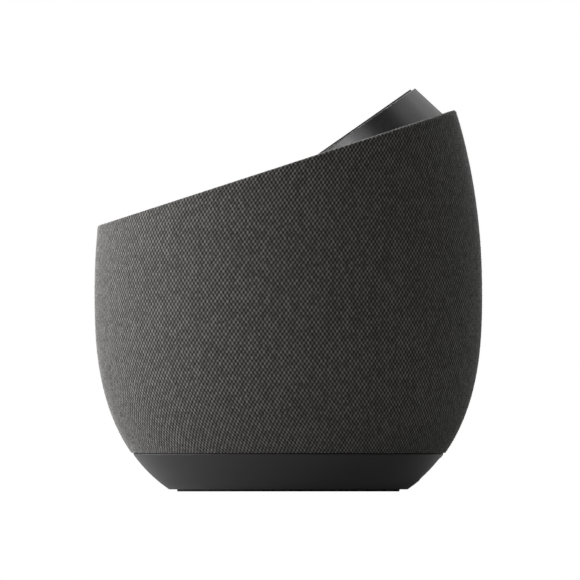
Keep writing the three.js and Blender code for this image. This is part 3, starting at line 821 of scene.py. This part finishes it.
def build_cradle():
    """The raised wedge: pad recess, rounded edge, and a drafted wall down to the deck."""
    outline = np.array(arch(0))
    out = np.array(arch(1)) - outline
    lands = height_of_deck(outline[:, 1])
    sunk = np.clip(lands + 1.2, 0, 1)
    sunk = sunk ** 2 * (3 - 2 * sunk)
    clear = -SUNK_GAP * sunk
    flank = np.abs(out[:, 0])
    lip = LIP * flank * (1 - sunk)
    edge = EDGE_CROWN + (EDGE_FLANK - EDGE_CROWN) * flank
    wall_foot = np.minimum(drafted_height(outline[:, 1], out[:, 1]), -LEAST_WALL)

    def loop(grow, height):
        spots = outline + out * np.broadcast_to(grow, lands.shape)[:, None]
        return [cradle_to_world(x, y, h)
                for (x, y), h in zip(spots, np.broadcast_to(height, lands.shape))]

    loops = [loop(-LAND, -PAD_RECESS), loop(-LAND, lip - 0.1), loop(0.1 - LAND, lip)]
    for a in np.radians((0, 15, 30, 45, 60, 75, 90)):
        loops.append(loop(clear - edge * (1 - math.sin(a)), lip - edge * (1 - math.cos(a))))
    reach = -wall_foot * math.tan(DRAFT) * (1 - sunk)
    loops += [loop(clear + reach, wall_foot), loop(-WALL_INSIDE, wall_foot),
              loop(-WALL_INSIDE, np.where(wall_foot < -2.5, -2.4, wall_foot * 0.9))]
    points, faces = loft(loops)
    make("cradle_wedge_moulded", points, [face[::-1] for face in faces], CRADLE, "cradle",
         replaces=("cradle_wedge",))


def drafted_height(y, out):
    """How far under the face a drafted wall meets the deck, starting at y."""
    h = height_of_deck(y)
    for _ in range(20):
        h = height_of_deck(y + out * np.maximum(0.0, -h) * math.tan(DRAFT)) - 0.05
    return h


def build_pad():
    """The soft pad, with its edges rounded over."""
    stack = [(0.0, -PAD_RECESS + 0.05), (0.0, PAD_PROUD - PAD_EDGE)]
    stack += [(-PAD_EDGE * (1 - math.cos(a)), PAD_PROUD - PAD_EDGE * (1 - math.sin(a)))
              for a in np.radians((22, 45, 67, 90))]
    loops = [[cradle_to_world(x, y, h) for x, y in arch(-PAD_INSET + grow)]
             for grow, h in stack]
    make("charging_pad_soft", *loft(loops), PAD, "pad", replaces=("charging_pad",))


# ------------------------------------------------------------ keys, marks and light
def ribbon(points, width):
    """The outline of a stroke of even width with round ends."""
    points = [np.array(p, float) for p in points]
    sides = [[], []]
    for k, p in enumerate(points):
        ahead = points[min(k + 1, len(points) - 1)] - points[max(k - 1, 0)]
        ahead /= np.linalg.norm(ahead)
        across = np.array((-ahead[1], ahead[0])) * width / 2
        sides[0].append(tuple(p - across))
        sides[1].append(tuple(p + across))

    def cap(centre, start):
        first = math.atan2(*(np.array(start) - centre)[::-1])
        return [tuple(centre + width / 2 * np.array((math.cos(first + a), math.sin(first + a))))
                for a in np.radians(range(30, 180, 30))]

    return (sides[0] + cap(points[-1], sides[0][-1]) + sides[1][::-1]
            + cap(points[0], sides[1][0]))


def bow(x, y, radius, start, end, steps=14):
    return [(x + radius * math.cos(math.radians(a)), y + radius * math.sin(math.radians(a)))
            for a in np.linspace(start, end, steps + 1)]


STROKE = 0.42
KEY_ORDER = ("mic_mute", "volume_down", "play_pause", "volume_up", "pairing")  # left to right
MARKS = {
    "volume_down": [ribbon([(-1.6, 0), (1.6, 0)], STROKE)],
    "volume_up": [ribbon([(-1.6, 0), (1.6, 0)], STROKE), ribbon([(0, 0.35), (0, 1.6)], STROKE),
                  ribbon([(0, -1.6), (0, -0.35)], STROKE)],
    "play_pause": [[(-2.1, -1.2), (-0.1, 0), (-2.1, 1.2)],
                   ribbon([(0.75, -1.0), (0.75, 1.0)], STROKE),
                   ribbon([(1.75, -1.0), (1.75, 1.0)], STROKE)],
    "mic_mute": [ribbon([(0, 0.3), (0, 1.3)], 1.1), ribbon(bow(0, 0.3, 1.25, 190, 350), 0.3),
                 ribbon([(0, -1.2), (0, -1.8)], 0.3), ribbon([(-1.9, 1.7), (-0.75, 0.65)], 0.3),
                 ribbon([(0.85, -0.85), (1.8, -1.75)], 0.3)],
    "pairing": [ribbon(bow(0, 0, 0.9, -40, 40), 0.36), ribbon(bow(0, 0, 0.9, 140, 220), 0.36),
                ribbon(bow(0, 0, 1.8, -40, 40), 0.36), ribbon(bow(0, 0, 1.8, 140, 220), 0.36),
                circle(0, 0, 0.35, 20)],
}


def build_keys():
    """Round keys with a shallow dish, each with its printed mark."""
    dish = [(r, KEY_PROUD - KEY_HOLLOW * (1 - (r / KEY_DISH) ** 2))
            for r in (0, 1.2, 2.2, 3.1, 3.8, KEY_DISH)]
    rim = rounded([(KEY_DISH, KEY_PROUD, 0), (BUTTON_RADIUS, KEY_PROUD, KEY_EDGE),
                   (BUTTON_RADIUS, -1, 0)])[1:-1]
    top, low = -DECK_THICK - 0.4, -DECK_THICK - STEM_LENGTH
    stem = [(BUTTON_RADIUS, top), (FLANGE_RADIUS, top), (FLANGE_RADIUS, top - FLANGE_THICK),
            (STEM_RADIUS, top - FLANGE_THICK), (STEM_RADIUS, low), (0, low)]
    profile = (dish + rim + stem)[::-1]
    for name, strokes in MARKS.items():
        x = (KEY_ORDER.index(name) - 2) * BUTTON_PITCH
        place = ON_DECK @ Matrix.Translation((x * MM, BUTTON_ROW * MM, 0))
        key = make(f"{name}_key", *turned(profile, 64), KEY, body=f"{name}_key")
        key.data.transform(place)
        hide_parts(f"{name}_button")
        place @= Matrix.Translation((0, 0, (KEY_PROUD - 0.1) * MM))
        prints = [plate("print", [outline], 0.3, 0.02, place) for outline in strokes]
        mark = joined(*prints) if len(prints) > 1 else prints[0]
        mark.name = mark.data.name = f"{name}_mark"
        finish_piece(mark, MARK, f"{name}_key", (), sharp=8)


def build_light():
    outline = slot_outline(LIGHT_LENGTH / 2, LIGHT_WIDTH / 2, LIGHT_ROW)
    pipe = plate("light_pipe_clear", [outline], LIGHT_DEEP, 0.15, ON_DECK)
    finish_piece(pipe, LIGHT, BODY, ("light_pipe",), sharp=8)


# ------------------------------------------------------------ camera, floor and lights
VIEW_WIDTH = 0.24258  # metres across the square frame, so the body fills two thirds of it
CAMERA_PLACE = (1.6, 0.00068, 0.08426)
LIT_POINT = (0, 0, 0.08)
LAMP_DISTANCE = 1.5
FLOOR_RADIUS = 6.0
AMBIENT = 0.01  # of the sky on the object; the camera sees it white
FLOOR_GLOW = 0.05
SOFTBOXES = (
    # name, azimuth and elevation in degrees, side in metres, power in watts
    ("front_softbox", -90, 8, 1.0, 27),
    ("front_softbox_far", -120, 8, 1.0, 15),
    ("front_softbox_near", -60, 8, 1.0, 11),
    ("top_softbox_front", -90, 56, 0.3, 3.0),
    ("top_softbox", -129, 71, 0.3, 2.8),
    ("top_softbox_back", 167, 65, 0.3, 3.0),
    ("side_softbox", 2, 34, 0.5, 2.7),
    ("side_softbox_low", -16, 20, 0.3, 1.2),
    ("side_softbox_high", 20, 45, 0.5, 0.9),
    ("back_softbox", 120, 42, 1.0, 1.7),
    ("back_softbox_far", 160, 30, 1.0, 1.8),
    ("far_softbox", 195, 20, 1.0, 5),
)


def studio():
    """An even side view on a pale floor, under softboxes."""
    bpy.context.scene.view_settings.view_transform = "Standard"
    data = bpy.data.cameras.new("camera")
    data.type, data.ortho_scale = "ORTHO", VIEW_WIDTH
    camera = bpy.data.objects.new("camera", data)
    camera.location = CAMERA_PLACE
    camera.rotation_euler = (math.pi / 2, 0, math.pi / 2)
    bpy.context.scene.collection.objects.link(camera)
    bpy.context.scene.camera = camera

    floor_material, tree, shader = material("pale_floor")
    speckle = noise(tree, object_place(tree), 60, 3.0)
    tree.links.new(mix_colour(tree, speckle, grey(0.54), grey(0.58)),
                   shader.inputs["Base Color"])
    shader.inputs["Roughness"].default_value = 0.9
    shader.inputs["Emission Color"].default_value = (1, 1, 1, 1)
    shader.inputs["Emission Strength"].default_value = FLOOR_GLOW
    bpy.ops.mesh.primitive_circle_add(vertices=96, radius=FLOOR_RADIUS, fill_type="NGON")
    floor = bpy.context.object
    floor.name = "floor"
    floor.data.materials.append(floor_material)

    world = bpy.data.worlds.new("studio")
    world.use_nodes = True
    bpy.context.scene.world = world
    tree = world.node_tree
    tree.nodes.clear()
    seen = node(tree, "ShaderNodeLightPath").outputs["Is Camera Ray"]
    white = node(tree, "ShaderNodeBackground", {"Color": (1, 1, 1, 1), "Strength": 1.0})
    dim = node(tree, "ShaderNodeBackground", {"Color": (1, 1, 1, 1), "Strength": AMBIENT})
    both = node(tree, "ShaderNodeMixShader", {0: seen, 1: dim.outputs[0], 2: white.outputs[0]})
    out = node(tree, "ShaderNodeOutputWorld", {0: both.outputs[0]})
    for name, azimuth, elevation, side, power in SOFTBOXES:
        lamp = bpy.data.lights.new(name, "AREA")
        lamp.shape, lamp.size, lamp.energy = "SQUARE", side, power
        holder = bpy.data.objects.new(name, lamp)
        turn = Matrix.Rotation(math.radians(azimuth), 4, "Z")
        turn @= Matrix.Rotation(math.radians(90 - elevation), 4, "Y")
        holder.matrix_world = Matrix.Translation(LIT_POINT) @ turn @ Matrix.Translation(
            (0, 0, LAMP_DISTANCE))
        bpy.context.scene.collection.objects.link(holder)


dress_cad_nodes()
build_sleeve()
build_base()
build_seam_strip()
build_foot()
build_inlet()
build_deck()
build_cradle()
build_pad()
build_keys()
build_light()
studio()
